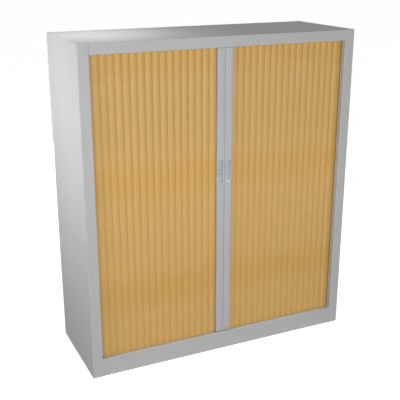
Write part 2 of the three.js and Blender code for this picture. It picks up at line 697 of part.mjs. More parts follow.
const carcass = new THREE.Group();
cabinet.add(carcass);
place(carcass, 'left_side_panel', sidePanel(-1), paintedSteel);
place(carcass, 'right_side_panel', sidePanel(1), paintedSteel);
place(carcass, 'top_panel', topPanel(), paintedSteel);
place(carcass, 'base_panel', basePanel(), paintedSteel);
place(carcass, 'back_panel', backPanel(), paintedSteel);
place(carcass, 'left_lining', lining(-1), paintedSteel);
place(carcass, 'right_lining', lining(1), paintedSteel);
for (let i = 1; i <= SHELF_COUNT; i += 1) {
  place(carcass, `shelf_${i}`, shelf(floorZ + i * levelHeight), paintedSteel);
}

const sides = [['left', -1], ['right', 1]];
for (const [word, side] of sides) {
  place(carcass, `${word}_lower_track`, track(side, floorZ, sillZ), trackPlastic);
  place(carcass, `${word}_upper_track`, track(side, ceilingZ, headZ), trackPlastic);
}

footPlaces.forEach(([x, y], i) => {
  place(carcass, `levelling_foot_${i + 1}`, levellingFoot(), zincSteel, [x, y, FOOT_LIFT]);
});

for (const [word, side] of sides) {
  const door = new THREE.Group();
  cabinet.add(door);
  place(door, `${word}_lead_rail`, leadRail(side), anodised);
  place(door, `${word}_grip`, grip(side), greyPlastic);
  hangSlats().forEach(({ x, y, angle }, i) => {
    const number = String(i + 1).padStart(2, '0');
    place(door, `${word}_slat_${number}`, slat(side), beechSlat, [side * x, y, slatBottomZ], side * angle);
  });
}

const lock = new THREE.Group();
lock.position.set(-gripX, 0, gripZ);
cabinet.add(lock);
place(lock, 'lock_barrel', lockBarrel(), zincSteel, [0, barrelFront + LOCK_BODY_LENGTH / 2, 0]);
place(lock, 'lock_hook', lockHook(), zincSteel, [0, barrelBack, 0]);

export default cabinet;
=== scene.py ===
import math

import bpy
import numpy as np
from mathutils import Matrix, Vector


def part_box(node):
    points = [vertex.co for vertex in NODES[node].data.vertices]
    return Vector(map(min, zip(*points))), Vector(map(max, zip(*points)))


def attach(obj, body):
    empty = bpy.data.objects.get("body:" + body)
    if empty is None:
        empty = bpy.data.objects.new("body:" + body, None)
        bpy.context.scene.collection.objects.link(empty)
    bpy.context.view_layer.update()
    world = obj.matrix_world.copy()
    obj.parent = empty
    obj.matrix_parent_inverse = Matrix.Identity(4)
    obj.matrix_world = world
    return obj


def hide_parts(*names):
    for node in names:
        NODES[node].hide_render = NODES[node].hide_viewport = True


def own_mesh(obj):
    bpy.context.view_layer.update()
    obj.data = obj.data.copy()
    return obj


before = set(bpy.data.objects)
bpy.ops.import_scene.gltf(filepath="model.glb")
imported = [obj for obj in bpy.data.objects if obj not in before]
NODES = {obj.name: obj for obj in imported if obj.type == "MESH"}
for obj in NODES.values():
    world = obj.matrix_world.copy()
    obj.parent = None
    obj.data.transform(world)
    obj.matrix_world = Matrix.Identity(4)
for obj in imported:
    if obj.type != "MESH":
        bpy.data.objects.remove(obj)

# A tambour door cupboard: its folded steel body keeps the solids of the frame and gets its
# paint here, and the curtains, lead rails, grips, lock and feet are made again as fine surfaces.
# Metres, Z up, and the doors face -Y.

bl_info = {
    "name": "Tambour door cupboard",
    "version": (1, 0, 0),
    "blender": (4, 5, 0),
    "location": "3D View > Sidebar > Cupboard",
    "description": "Dresses the cupboard's frame with its slats, rails, grips, feet and finishes",
    "category": "Object",
}

MM = 0.001
SIDES = {"left": -1, "right": 1}
SMOOTH_BELOW = math.radians(28)


def linear(code):
    """The linear colour, with alpha, of an sRGB hex code."""
    shares = [int(code[i:i + 2], 16) / 255 for i in (0, 2, 4)]
    return [c / 12.92 if c <= 0.04045 else ((c + 0.055) / 1.055) ** 2.4 for c in shares] + [1.0]


def low(node):
    return np.array(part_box(node)[0])


def high(node):
    return np.array(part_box(node)[1])


def span(node):
    """The least and the greatest distance of a node from the middle of the cabinet."""
    return sorted((abs(low(node)[0]), abs(high(node)[0])))


def middle(node):
    """The centre of a node as [x, z]."""
    return ((low(node) + high(node)) / 2)[[0, 2]]


SLATS_PER_DOOR = sum(name.startswith("left_slat_") for name in NODES)


# Settings

def length(name, millimetres, description):
    return bpy.props.FloatProperty(
        name=name, description=description, default=millimetres * MM, unit="LENGTH", precision=5)


def colour(name, code, description):
    return bpy.props.FloatVectorProperty(
        name=name, description=description, default=linear(code), size=4, min=0, max=1, subtype="COLOR")


class SlatSettings(bpy.types.PropertyGroup):
    """Sizes of the slat profile. They are those of the solid slats, but for a fuller crown and a
    narrower groove."""
    pitch: length("Pitch", 30, "From one slat to the next along the curtain")
    rib_gap: length("Rib gap", 0.5, "Groove between two ribs")
    rib_rise: length("Rib rise", 2.9, "Crown of a rib above its two edges")
    rib_wall: length("Rib wall", 2, "Thickness of the rib")
    edge_radius: length("Edge radius", 0.3, "Rounding of the two front edges of a rib")
    bead_radius: length("Bead radius", 2, "Round bead on the trailing edge")
    hook_wall: length("Hook wall", 1.2, "Thickness of the hook on the leading edge")
    play: length("Play", 0.3, "Clearance between bead and hook")
    neck: length("Neck", 1.4, "Web that joins rib and bead")
    bead_inset: length("Bead inset", 1.5, "From the pitch line to the centre of the bead")
    bead_depth: length("Bead depth", 5, "From the crest to the centre of the bead")
    bend_radius: length("Bend radius", 40, "Middle of the track round the corner")
    track_half: length("Half track", 8, "Half the width of the track")
    gathered: length("Gathered pitch", 0.7, "From slat to slat when the curtain is open")


class RailSettings(bpy.types.PropertyGroup):
    """Sizes of the lead rails, their caps and their shoes."""
    wall: length("Wall", 1.6, "Thickness of the extruded wall")
    edge_radius: length("Edge radius", 3, "Rounding of the front edge beside the slats")
    meeting_radius: length("Meeting radius", 0.5, "Rounding of the front edge where the rails meet")
    back_radius: length("Back radius", 0.6, "Rounding of the two back edges")
    foot_gap: length("Foot gap", 4, "From the sill to the rail")
    head_gap: length("Head gap", 2, "From the rail to the top rail of the frame")
    cap: length("Cap", 2, "Thickness of the plastic end cap")
    shoe_inset: length("Shoe inset", 6, "From the meeting edge to the shoe")
    shoe_length: length("Shoe length", 22, "Length of the shoe along the track")
    shoe_thickness: length("Shoe thickness", 8, "Thickness of the shoe in the groove")
    slot_play: length("Slot play", 1, "Between the lock's hook and the slots that it turns through")


class GripSettings(bpy.types.PropertyGroup):
    """Sizes of the moulded grips and of the lock in the left one."""
    flange: length("Flange", 1.2, "Thickness of the flange on the rail")
    rim: length("Rim", 1.8, "How far the flange laps over the cup")
    wall: length("Wall", 1.6, "Thickness of the cup")
    corner: length("Corner", 7, "Corner radius of the flange")
    draft: length("Draft", 2.4, "How far the walls of the recess lean in towards its floor")
    lip: length("Lip", 1.4, "Rounding of the edge of the recess")
    boss_wall: length("Boss wall", 2.2, "Wall round the lock barrel")
    boss_shy: length("Boss step", 1.2, "How far the boss stops short of the flange")
    key_width: length("Key width", 1.4, "Width of the keyway")
    key_length: length("Key length", 8, "Length of the keyway")
    key_depth: length("Key depth", 3, "Depth of the keyway")


class FootSettings(bpy.types.PropertyGroup):
    """Sizes of the levelling feet."""
    thread_pitch: length("Thread pitch", 1.25, "Rise of the thread in one turn")
    thread_depth: length("Thread depth", 0.65, "Depth of the thread")
    stud_radius: length("Stud radius", 4, "Outer radius of the thread")
    pad_radius: length("Pad radius", 16, "Radius of the pad")
    pad_height: length("Pad height", 8, "Height of the pad")
    hex_flats: length("Hexagon", 14, "Across the flats of the hexagon on the pad")
    hex_height: length("Hexagon height", 5, "Height of the hexagon on the pad")


class SealSettings(bpy.types.PropertyGroup):
    """Sizes of the brush strips that close the gap between the uprights and the curtains."""
    hem_gap: length("Hem gap", 1, "From the back of the upright's hem to the front of the track")
    setback: length("Setback", 0.2, "From the reveal to the strip")
    width: length("Width", 5, "Width of the woven back")
    back: length("Back", 0.8, "Thickness of the woven back")
    rim: length("Rim", 0.5, "Bare edge of the back on both sides of the pile")
    play: length("Play", 0.4, "From the tips of the pile to the crests of the slats")
    ragged: length("Ragged", 0.35, "How much shorter some tufts are")
    lean: length("Lean", 3.4, "How far the tips of the pile lean over the end of the curtain")
    step: length("Step", 3, "Distance between two rings of the pile")


class RivetSettings(bpy.types.PropertyGroup):
    """Sizes and spacing of the blind rivets on the back."""
    head_radius: length("Head radius", 3.2, "Radius of the domed head")
    head_height: length("Head height", 1.1, "Height of the dome")
    stem_radius: length("Stem radius", 0.9, "Radius of the hole that the mandrel leaves")
    inset: length("Inset", 13, "From the edge of the cabinet to a rivet")
    spacing: length("Spacing", 150, "Largest distance between two rivets")


class FinishSettings(bpy.types.PropertyGroup):
    """Colours of the finishes."""
    paint: colour("Paint", "B4B4B5", "Aluminium-grey powder coat on the steel")
    beech: colour("Beech", "CFA866", "Ground of the beech print")
    beech_figure: colour("Beech figure", "C39438", "Darker figure of the beech print")
    rail: colour("Rail", "ADAFB2", "Anodised aluminium")
    grip: colour("Grip", "B8BABD", "Moulded plastic of the grips and caps")
    track: colour("Track", "BDBBB5", "Moulded plastic of the tracks")
    zinc: colour("Zinc", "B5B5AF", "Zinc plating")
    nickel: colour("Nickel", "A4A5A6", "Nickel plating of the lock")
    pile: colour("Pile", "B3AEA6", "Fibres of the brush strips")


class StageSettings(bpy.types.PropertyGroup):
    """Camera, lamps and floor."""
    camera_place: bpy.props.FloatVectorProperty(
        name="Camera", description="Place of the camera", default=(-1.335, -2.812, 1.670),
        size=3, subtype="TRANSLATION", unit="LENGTH")
    camera_target: bpy.props.FloatVectorProperty(
        name="Target", description="Point that the camera looks at", default=(-0.116, -0.215, 0.7076),
        size=3, subtype="TRANSLATION", unit="LENGTH")
    camera_lens: bpy.props.FloatProperty(
        name="Lens", description="Focal length in millimetres on a 36 mm sensor", default=66.757)
    floor_size: bpy.props.FloatProperty(
        name="Floor", description="Side of the square floor", default=60, unit="LENGTH")
    world_strength: bpy.props.FloatProperty(
        name="World", description="Strength of the even light from all round", default=0.15)


GROUPS = {
    "slat": SlatSettings,
    "rail": RailSettings,
    "grip": GripSettings,
    "foot": FootSettings,
    "seal": SealSettings,
    "rivet": RivetSettings,
    "finish": FinishSettings,
    "stage": StageSettings,
}


def settings(group):
    return getattr(bpy.context.scene, f"cupboard_{group}")


# Surfaces

def arc(centre, radius, start, end, steps):
    """Points on a circle: the centre plus the radius times the cosine and sine of even angles."""
    angles = np.radians(np.linspace(start, end, steps + 1))
    return np.asarray(centre) + radius * np.column_stack((np.cos(angles), np.sin(angles)))


def rounded_corner(before, corner, after, radius, steps=4):
    """Points of a fillet: a circle that touches both legs, from one touching point to the other."""
    before, corner, after = (np.asarray(p, float) for p in (before, corner, after))
    u = (before - corner) / np.linalg.norm(before - corner)
    v = (after - corner) / np.linalg.norm(after - corner)
    half = math.acos(float(np.clip(u @ v, -1, 1))) / 2
    reach = radius / math.tan(half)
    middle = corner + (u + v) / np.linalg.norm(u + v) * radius / math.sin(half)
    start, end = corner + u * reach - middle, corner + v * reach - middle
    share = np.linspace(0, 1, steps + 1)[:, None]
    sweep = math.pi - 2 * half
    return middle + (np.sin((1 - share) * sweep) * start + np.sin(share * sweep) * end) / math.sin(sweep)


def rounded_outline(corners, radius):
    """A closed outline with the same fillet at every corner."""
    return np.vstack([
        rounded_corner(corners[i - 1], corners[i], corners[(i + 1) % len(corners)], radius)
        for i in range(len(corners))])


def rounded_rectangle(half_width, half_height, radius):
    """Four quarter circles, one round each corner, drawn anticlockwise from the right."""
    x, y = half_width - radius, half_height - radius
    return np.vstack([
        arc((sx * x, sy * y), radius, start, start + 90, 8)
        for sx, sy, start in ((1, 1, 0), (-1, 1, 90), (-1, -1, 180), (1, -1, 270))
    ])


def in_plan(outline, height):
    """An outline as [x, y], lifted to one height."""
    return np.column_stack((outline, np.full(len(outline), height)))


def facing_front(outline, depth, centre):
    """An outline as [x, z] round a centre, set at one depth."""
    x, z = (outline + centre).T
    return np.column_stack((x, np.full(len(outline), depth), z))


def loft(rings):
    """A closed skin: point n of ring k joins its neighbours on rings k and k + 1, and one face
    fills the first ring and the last."""
    rings = np.asarray(rings, float)
    count, around = rings.shape[:2]
    k, n = np.meshgrid(np.arange(count - 1), np.arange(around), indexing="ij")
    here = k * around + n
    beside = k * around + (n + 1) % around
    quads = np.stack((here, beside, beside + around, here + around), axis=-1).reshape(-1, 4)
    caps = [np.arange(around)[::-1], (count - 1) * around + np.arange(around)]
    return rings.reshape(-1, 3), quads.tolist() + [cap.tolist() for cap in caps]


def turned(profile, steps, centre, shape=None):
    """A surface of revolution about an upright line: x is the radius times the cosine of the
    angle, y the radius times its sine, z the height. Shape may change the radius by angle."""
    angles = np.linspace(0, 2 * np.pi, steps, endpoint=False)
    radius, height = np.asarray(profile, float).T
    reach = np.repeat(radius[:, None], steps, axis=1)
    if shape is not None:
        reach = shape(reach, height[:, None], angles[None, :])
    x = centre[0] + reach * np.cos(angles)
    y = centre[1] + reach * np.sin(angles)
    z = centre[2] + np.repeat(height[:, None], steps, axis=1)
    return loft(np.stack((x, y, z), axis=-1))


def joined(parts):
    """Several skins as one list of points and one of faces."""
    points, faces, first = [], [], 0
    for part_points, part_faces in parts:
        points.append(part_points)
        faces += [[i + first for i in face] for face in part_faces]
        first += len(part_points)
    return np.vstack(points), faces


def outward(mesh):
    """Turns the faces outwards, where the volume that they enclose comes out negative."""
    mesh.calc_loop_triangles()
    corners = np.zeros(3 * len(mesh.loop_triangles), np.int32)
    mesh.loop_triangles.foreach_get("vertices", corners)
    points = np.zeros(3 * len(mesh.vertices), np.float32)
    mesh.vertices.foreach_get("co", points)
    a, b, c = points.reshape(-1, 3)[corners.reshape(-1, 3)].astype(float).transpose(1, 0, 2)
    if np.einsum("ij,ij->", a, np.cross(b, c)) < 0:
        mesh.flip_normals()


def new_mesh(name, skin):
    """A mesh from a skin, with its faces outwards."""
    points, faces = skin
    mesh = bpy.data.meshes.new(name)
    mesh.from_pydata(points.tolist(), [], faces)
    outward(mesh)
    return mesh


def new_object(name, data):
    """An object in the scene."""
    made = bpy.data.objects.new(name, data)
    bpy.context.scene.collection.objects.link(made)
    return made


def piece(name, skin, finish, body, replaced=()):
    """A new piece from a skin, smooth but for its edges, that rides on a body."""
    mesh = new_mesh(name, skin)
    mesh.polygons.foreach_set("use_smooth", np.ones(len(mesh.polygons), bool))
    mesh.set_sharp_from_angle(angle=SMOOTH_BELOW)
    mesh.materials.append(finish)
    made = new_object(name, mesh)
    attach(made, body)
    if replaced:
        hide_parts(*replaced)
    return made


def carve(target, skin):
    """Cuts a skin out of a piece and keeps the result as its mesh."""
    mesh = new_mesh("cutter", skin)
    cutter = new_object("cutter", mesh)
    difference = target.modifiers.new("cut", "BOOLEAN")
    difference.operation = "DIFFERENCE"
    difference.solver = "EXACT"
    difference.object = cutter
    shaped = bpy.data.meshes.new_from_object(
        target.evaluated_get(bpy.context.evaluated_depsgraph_get()))
    target.modifiers.clear()
    old = target.data
    name = old.name
    target.data = shaped
    bpy.data.meshes.remove(old)
    shaped.name = name
    shaped.set_sharp_from_angle(angle=SMOOTH_BELOW)
    bpy.data.objects.remove(cutter)
    bpy.data.meshes.remove(mesh)


# Materials

def add_node(tree, kind, values=None, links=None, **options):
    """Adds a node, sets its options and its inputs' values, and links its inputs."""
    node = tree.nodes.new(kind)
    for option, value in options.items():
        setattr(node, option, value)
    for socket, value in (values or {}).items():
        node.inputs[socket].default_value = value
    for socket, source in (links or {}).items():
        tree.links.new(source, node.inputs[socket])
    return node


def new_material(name):
    """An empty material, its tree and its shader."""
    made = bpy.data.materials.new(name)
    made.use_nodes = True
    tree = made.node_tree
    tree.nodes.clear()
    shader = add_node(tree, "ShaderNodeBsdfPrincipled")
    add_node(tree, "ShaderNodeOutputMaterial", links={"Surface": shader.outputs[0]})
    return made, tree, shader


# The sockets of a Mix node that mixes colours
MIX_A, MIX_B, MIX_RESULT = 6, 7, 2


def times(base, share):
    """A colour made darker or lighter by a share, with full alpha."""
    return [min(1, c * share) for c in base[:3]] + [1]


def connect(tree, shader, shade, rough, bump=None):
    """Links a mixed colour, a roughness and a bump to the shader."""
    tree.links.new(shade.outputs[MIX_RESULT], shader.inputs["Base Color"])
    tree.links.new(rough.outputs[0], shader.inputs["Roughness"])
    if bump is not None:
        tree.links.new(bump.outputs[0], shader.inputs["Normal"])


def powder_coat(paint):
    """Polyester powder coat with aluminium flake, sprayed and baked on folded steel. The baked film
    gives a satin sheen with a slight orange peel. The flake's soft sparkle in the grey is a painted
    glint: lighter specks painted into the colour."""
    made, tree, shader = new_material("baked aluminium-grey powder coat")
    place = add_node(tree, "ShaderNodeTexCoord").outputs["Object"]
    tone = add_node(
        tree, "ShaderNodeTexNoise", {"Scale": 2.2, "Detail": 2.0, "Roughness": 0.5}, {"Vector": place})
    # Flake is 0.05 mm across in the real film and drawn at 1.2 mm, so that some of it shows. Its sparkle is
    # painted light: the brightest flake cells get a lighter colour
    flake = add_node(tree, "ShaderNodeTexVoronoi", {"Scale": 1 / (1.2 * MM)}, {"Vector": place})
    painted_glint = add_node(tree, "ShaderNodeSeparateColor", links={0: flake.outputs["Color"]})
    dull = add_node(
        tree, "ShaderNodeMix", {MIX_A: paint, MIX_B: times(paint, 0.93)},
        {"Factor": tone.outputs["Fac"]}, data_type="RGBA")
    painted_glint_share = add_node(
        # Painted glint: the brightest flake cells are mixed towards a lighter grey
        tree, "ShaderNodeMapRange", {"From Min": 0.86, "From Max": 1.0, "To Min": 0.0, "To Max": 0.14},
        {"Value": painted_glint.outputs[0]})
    shade = add_node(
        tree, "ShaderNodeMix", {MIX_B: times(paint, 1.25)},
        {"Factor": painted_glint_share.outputs[0], MIX_A: dull.outputs[MIX_RESULT]}, data_type="RGBA")
    sheen = add_node(
        tree, "ShaderNodeMapRange", {"To Min": 0.52, "To Max": 0.60}, {"Value": tone.outputs["Fac"]})
    # Orange peel has a wave of 2 to 3 mm
    peel = add_node(
        tree, "ShaderNodeTexNoise", {"Scale": 1 / (2.5 * MM), "Detail": 1.0}, {"Vector": place})
    bump = add_node(
        tree, "ShaderNodeBump", {"Strength": 0.25, "Distance": 0.02 * MM}, {"Height": peel.outputs["Fac"]})
    shader.inputs["Metallic"].default_value = 0.05
    connect(tree, shader, shade, sheen, bump)
    return made


def beech_print(base, figured):
    """Beech-effect foil laminated on rigid PVC, with the figure running across the slats. It gives
    broad honey-coloured bands that repeat with the print, short darker flecks and a satin skin."""
    made, tree, shader = new_material("beech print on rigid PVC")
    skin = add_node(tree, "ShaderNodeUVMap", uv_map="skin").outputs[0]
    # The print repeats each 475 mm, with a darker, redder band round its seam 335 mm above the floor
    # that wanders over 40 mm. The streaks of the figure are 120 mm long and 7 mm high. Beech flecks
    # are 2 mm long and 0.3 mm high, drawn at 6 by 1 mm so that a few of them show
    repeat, seam, wander = 475 * MM, 335 * MM, 40 * MM
    slow, long, fine = (
        add_node(tree, "ShaderNodeMapping", {"Scale": scale}, {"Vector": skin}).outputs[0]
        for scale in ((1.2, 4.0, 1.0), (8.0, 140.0, 1.0), (160.0, 900.0, 1.0)))
    drift = add_node(
        tree, "ShaderNodeTexNoise", {"Scale": 2.5, "Detail": 3.0, "Roughness": 0.6}, {"Vector": slow})
    axes = add_node(tree, "ShaderNodeSeparateXYZ", links={0: skin})
    lifted = add_node(
        tree, "ShaderNodeMath", {1: wander}, {0: drift.outputs["Fac"], 2: axes.outputs[1]},
        operation="MULTIPLY_ADD")
    turns = add_node(
        tree, "ShaderNodeMath", {1: 1 / repeat, 2: -(seam + wander / 2) / repeat},
        {0: lifted.outputs[0]}, operation="MULTIPLY_ADD")
    from_seam = add_node(
        tree, "ShaderNodeMath", {1: 0.5}, {0: turns.outputs[0]}, operation="PINGPONG")
    band = add_node(
        tree, "ShaderNodeMapRange", {"From Min": 0.02, "From Max": 0.22, "To Min": 0.26, "To Max": 0.0},
        {"Value": from_seam.outputs[0]}, interpolation_type="SMOOTHSTEP")
    streaks = add_node(
        tree, "ShaderNodeTexNoise", {"Scale": 1.0, "Detail": 4.0, "Roughness": 0.62}, {"Vector": long})
    streak = add_node(
        tree, "ShaderNodeMapRange", {"From Min": 0.3, "From Max": 0.75, "To Min": 0.0, "To Max": 0.28},
        {"Value": streaks.outputs["Fac"]})
    flecks = add_node(
        tree, "ShaderNodeTexVoronoi", {"Scale": 1.0, "Randomness": 1.0}, {"Vector": fine},
        voronoi_dimensions="2D")
    fleck = add_node(
        tree, "ShaderNodeMapRange", {"From Min": 0.12, "From Max": 0.34, "To Min": 0.22, "To Max": 0.0},
        {"Value": flecks.outputs["Distance"]})
    figure = add_node(
        tree, "ShaderNodeMath", links={0: band.outputs[0], 1: streak.outputs[0]}, operation="ADD")
    dark = add_node(
        tree, "ShaderNodeMath", links={0: figure.outputs[0], 1: fleck.outputs[0]}, operation="ADD",
        use_clamp=True)
    shade = add_node(
        tree, "ShaderNodeMix", {MIX_A: base, MIX_B: figured}, {"Factor": dark.outputs[0]},
        data_type="RGBA")
    satin = add_node(
        tree, "ShaderNodeMapRange", {"To Min": 0.40, "To Max": 0.52}, {"Value": streaks.outputs["Fac"]})
    bump = add_node(
        tree, "ShaderNodeBump", {"Strength": 0.3, "Distance": 0.03 * MM},
        {"Height": streaks.outputs["Fac"]})
    shader.inputs["Specular IOR Level"].default_value = 0.35
    connect(tree, shader, shade, satin, bump)
    return made


def anodised_aluminium(rail):
    """Extruded aluminium, etched and anodised. The die leaves fine lines along the rail, and the
    etch turns its shine into a soft satin."""
    made, tree, shader = new_material("satin anodised aluminium")
    place = add_node(tree, "ShaderNodeTexCoord").outputs["Object"]
    # Die lines are 0.1 mm apart and drawn at 0.8 mm, and run the length of the rail
    lines = add_node(
        tree, "ShaderNodeTexNoise", {"Scale": 1.0, "Detail": 3.0, "Roughness": 0.6},
        {"Vector": add_node(
            tree, "ShaderNodeMapping", {"Scale": (1250.0, 1250.0, 1.5)}, {"Vector": place}).outputs[0]})
    shade = add_node(
        tree, "ShaderNodeMix", {MIX_A: times(rail, 0.95), MIX_B: rail},
        {"Factor": lines.outputs["Fac"]}, data_type="RGBA")
    satin = add_node(
        tree, "ShaderNodeMapRange", {"To Min": 0.42, "To Max": 0.54}, {"Value": lines.outputs["Fac"]})
    bump = add_node(
        tree, "ShaderNodeBump", {"Strength": 0.2, "Distance": 0.01 * MM}, {"Height": lines.outputs["Fac"]})
    shader.inputs["Metallic"].default_value = 0.1
    connect(tree, shader, shade, satin, bump)
    return made


def moulded_plastic(name, base, grit, rough):
    """Injection-moulded plastic from a spark-eroded tool: an even colour broken by a fine grain
    that keeps the highlights soft."""
    made, tree, shader = new_material(name)
    place = add_node(tree, "ShaderNodeTexCoord").outputs["Object"]
    grain = add_node(
        tree, "ShaderNodeTexNoise", {"Scale": 1 / grit, "Detail": 2.0, "Roughness": 0.6}, {"Vector": place})
    cloud = add_node(tree, "ShaderNodeTexNoise", {"Scale": 12.0, "Detail": 2.0}, {"Vector": place})
    shade = add_node(
        tree, "ShaderNodeMix", {MIX_A: times(base, 0.94), MIX_B: base},
        {"Factor": cloud.outputs["Fac"]}, data_type="RGBA")
    matt = add_node(
        tree, "ShaderNodeMapRange", {"To Min": rough - 0.06, "To Max": rough + 0.06},
        {"Value": grain.outputs["Fac"]})
    bump = add_node(
        tree, "ShaderNodeBump", {"Strength": 0.35, "Distance": 0.04 * MM}, {"Height": grain.outputs["Fac"]})
    shader.inputs["Specular IOR Level"].default_value = 0.45
    connect(tree, shader, shade, matt, bump)
    return made


def plated_metal(name, base, rough):
    """Electroplated steel or brass: a bright metal with cloudy patches where the plating dulls."""
    made, tree, shader = new_material(name)
    place = add_node(tree, "ShaderNodeTexCoord").outputs["Object"]
    cloud = add_node(
        tree, "ShaderNodeTexNoise", {"Scale": 90.0, "Detail": 4.0, "Roughness": 0.6}, {"Vector": place})
    shade = add_node(
        tree, "ShaderNodeMix", {MIX_A: base, MIX_B: [base[0] * 0.9, base[1] * 0.88, base[2] * 0.8, 1]},
        {"Factor": cloud.outputs["Fac"]}, data_type="RGBA")
    haze = add_node(
        tree, "ShaderNodeMapRange", {"To Min": rough - 0.08, "To Max": rough + 0.08},
        {"Value": cloud.outputs["Fac"]})
    shader.inputs["Metallic"].default_value = 1.0
    connect(tree, shader, shade, haze)
    return made


def woven_pile(base):
    """Polypropylene pile on a woven back. The fibre ends give a matt face with a fine broken
    grain. The colour darkens towards the gaps between the fibres as painted shade, and more in some
    tufts than in others, so that whole tufts are a little darker than others."""
    made, tree, shader = new_material("polypropylene pile")
    place = add_node(tree, "ShaderNodeTexCoord").outputs["Object"]
    # Fibres are 0.05 mm thick and drawn at 0.4 mm
    fibres = add_node(tree, "ShaderNodeTexVoronoi", {"Scale": 1 / (0.4 * MM)}, {"Vector": place})
    tufts = add_node(tree, "ShaderNodeTexNoise", {"Scale": 1 / (4 * MM), "Detail": 2.0}, {"Vector": place})
    # Painted shade between the fibres: the distance from each fibre's middle, scaled by the tufts, darkens
    # the colour
    depth = add_node(
        tree, "ShaderNodeMath", links={0: fibres.outputs["Distance"], 1: tufts.outputs["Fac"]},
        operation="MULTIPLY")
    shade = add_node(
        tree, "ShaderNodeMix", {MIX_A: base, MIX_B: times(base, 0.7)},
        {"Factor": depth.outputs[0]}, data_type="RGBA")
    matt = add_node(
        tree, "ShaderNodeMapRange", {"To Min": 0.85, "To Max": 0.95}, {"Value": tufts.outputs["Fac"]})
    bump = add_node(
        tree, "ShaderNodeBump", {"Strength": 0.6, "Distance": 0.1 * MM},
        {"Height": fibres.outputs["Distance"]})
    shader.inputs["Specular IOR Level"].default_value = 0.2
    connect(tree, shader, shade, matt, bump)
    return made


MAKERS = {
    "paint": lambda f: powder_coat(f.paint),
    "beech": lambda f: beech_print(f.beech, f.beech_figure),
    "rail": lambda f: anodised_aluminium(f.rail),
    "grip": lambda f: moulded_plastic("moulded grey ABS", f.grip, 0.9 * MM, 0.5),
    "track": lambda f: moulded_plastic("moulded pale acetal", f.track, 1.2 * MM, 0.42),
    "zinc": lambda f: plated_metal("zinc-plated steel", f.zinc, 0.4),
    "nickel": lambda f: plated_metal("nickel-plated brass", f.nickel, 0.28),
    "pile": lambda f: woven_pile(f.pile),
}
made_materials = {}


def material(key):
    """A finish by its key, made once."""
    if key not in made_materials:
        made_materials[key] = MAKERS[key](settings("finish"))
    return made_materials[key]


def dress(nodes, key):
    """Gives CAD nodes a finish."""
    for name in nodes:
        slots = NODES[name].data.materials
        slots.clear()
        slots.append(material(key))


# The slats

# Angles round the hook, in degrees from the way the slats run: where it leaves the rib, where it
# ends behind the bead, and where the leading edge of the rib closes it in front
HOOK_ROOT, HOOK_LIP, HOOK_JAW = -38, 112, -110


def slat_outline(s):
    """The profile of a slat as [x, y] from the centre of its hook, x along the curtain and y into
    the cabinet: a crown that rises by the square of the distance from the middle, a bead, and a
    hook that opens towards the slat before it."""
    start, end = s.rib_gap / 2, s.pitch - s.rib_gap / 2
    hook_inner = s.bead_radius + s.play
    hook_outer = hook_inner + s.hook_wall
    neck = math.degrees(math.asin(s.neck / 2 / s.bead_radius))
    bead, socket = (s.pitch + s.bead_inset, s.bead_depth), (s.bead_inset, s.bead_depth)
    root = end - hook_inner

    def crown(x, behind):
        return np.column_stack((x, s.rib_rise * (2 * (x - start) / (end - start) - 1) ** 2 + behind))

    face = crown(np.linspace(start, end, 25), 0)
    right_edge = rounded_corner(face[-2], face[-1], (end, s.bead_depth), s.edge_radius)
    jaw = arc(socket, hook_inner, HOOK_JAW, HOOK_JAW, 0)[0]
    left_edge = rounded_corner(jaw, face[0], face[1], s.edge_radius)
    outline = np.vstack((
        left_edge,
        face[1:-1],
        right_edge,
        [(end, s.bead_depth - s.neck / 2)],
        arc(bead, s.bead_radius, neck - 180, 180 - neck, 20),
        [(root, s.bead_depth + s.neck / 2)],
        crown(np.linspace(root - s.rib_wall, socket[0] + hook_outer + s.rib_wall / 2, 13), s.rib_wall),
        arc(socket, hook_outer, HOOK_ROOT, HOOK_LIP, 18),
        arc(socket, hook_inner, HOOK_LIP, HOOK_JAW, 24),
    ))
    return outline - socket


def hung_places(s, side):
    """Where the hook of each slat of one door turns and how far the slat is turned: not at all on
    the straight, and round the corner so that the next hook keeps to the line of the track."""
    word = "left" if side < 0 else "right"
    outline = slat_outline(s)
    first, track = f"{word}_slat_01", f"{word}_lower_track"
    hinge = np.array((span(first)[0], low(first)[1])) - outline.min(axis=0)
    middle_y = low(track)[1] + s.track_half
    centre = np.array((span(track)[1] - s.track_half - s.bend_radius, middle_y + s.bend_radius))
    radius = centre[1] - hinge[1]
    places = []
    for _ in range(SLATS_PER_DOOR):
        inward = centre - hinge
        reach = np.linalg.norm(inward)
        angle = 0.0
        if hinge[0] + s.pitch > centre[0]:
            share = (reach ** 2 + s.pitch ** 2 - radius ** 2) / (2 * reach * s.pitch)
            angle = math.atan2(inward[1], inward[0]) - math.acos(share)
        places.append((hinge.copy(), angle))
        hinge = hinge + s.pitch * np.array((math.cos(angle), math.sin(angle)))
    return places


def map_skin(made, along, rings):
    """A UV map in metres: u runs along the curtain, with each slat laid flat, and v is the height
    above the floor."""
    mesh = made.data
    corner = np.zeros(len(mesh.loops), np.int32)
    mesh.loops.foreach_get("vertex_index", corner)
    height = np.array(rings)[:, :, 2].ravel()
    u = np.tile(along, len(rings))
    uv = np.column_stack((u[corner], height[corner]))
    mesh.uv_layers.new(name="skin").data.foreach_set("uv", uv.astype(np.float32).ravel())


class MakeSlats(bpy.types.Operator):
    """Make the two curtains of interlocked slats"""
    bl_idname = "cupboard.make_slats"
    bl_label = "Slats"

    def execute(self, context):
        s = settings("slat")
        outline = slat_outline(s)
        for word, side in SIDES.items():
            for number, (hinge, angle) in enumerate(hung_places(s, side), start=1):
                node = f"{word}_slat_{number:02d}"
                turn = np.array(((math.cos(angle), -math.sin(angle)), (math.sin(angle), math.cos(angle))))
                placed = outline @ turn.T + hinge
                placed[:, 0] *= side
                rings = [in_plan(placed, low(node)[2]), in_plan(placed, high(node)[2])]
                made = piece(f"{node}_profile", loft(rings), material("beech"), node, [node])
                map_skin(made, side * (hinge[0] + outline[:, 0]), rings)
                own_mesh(made)
        return {"FINISHED"}


# The lead rails

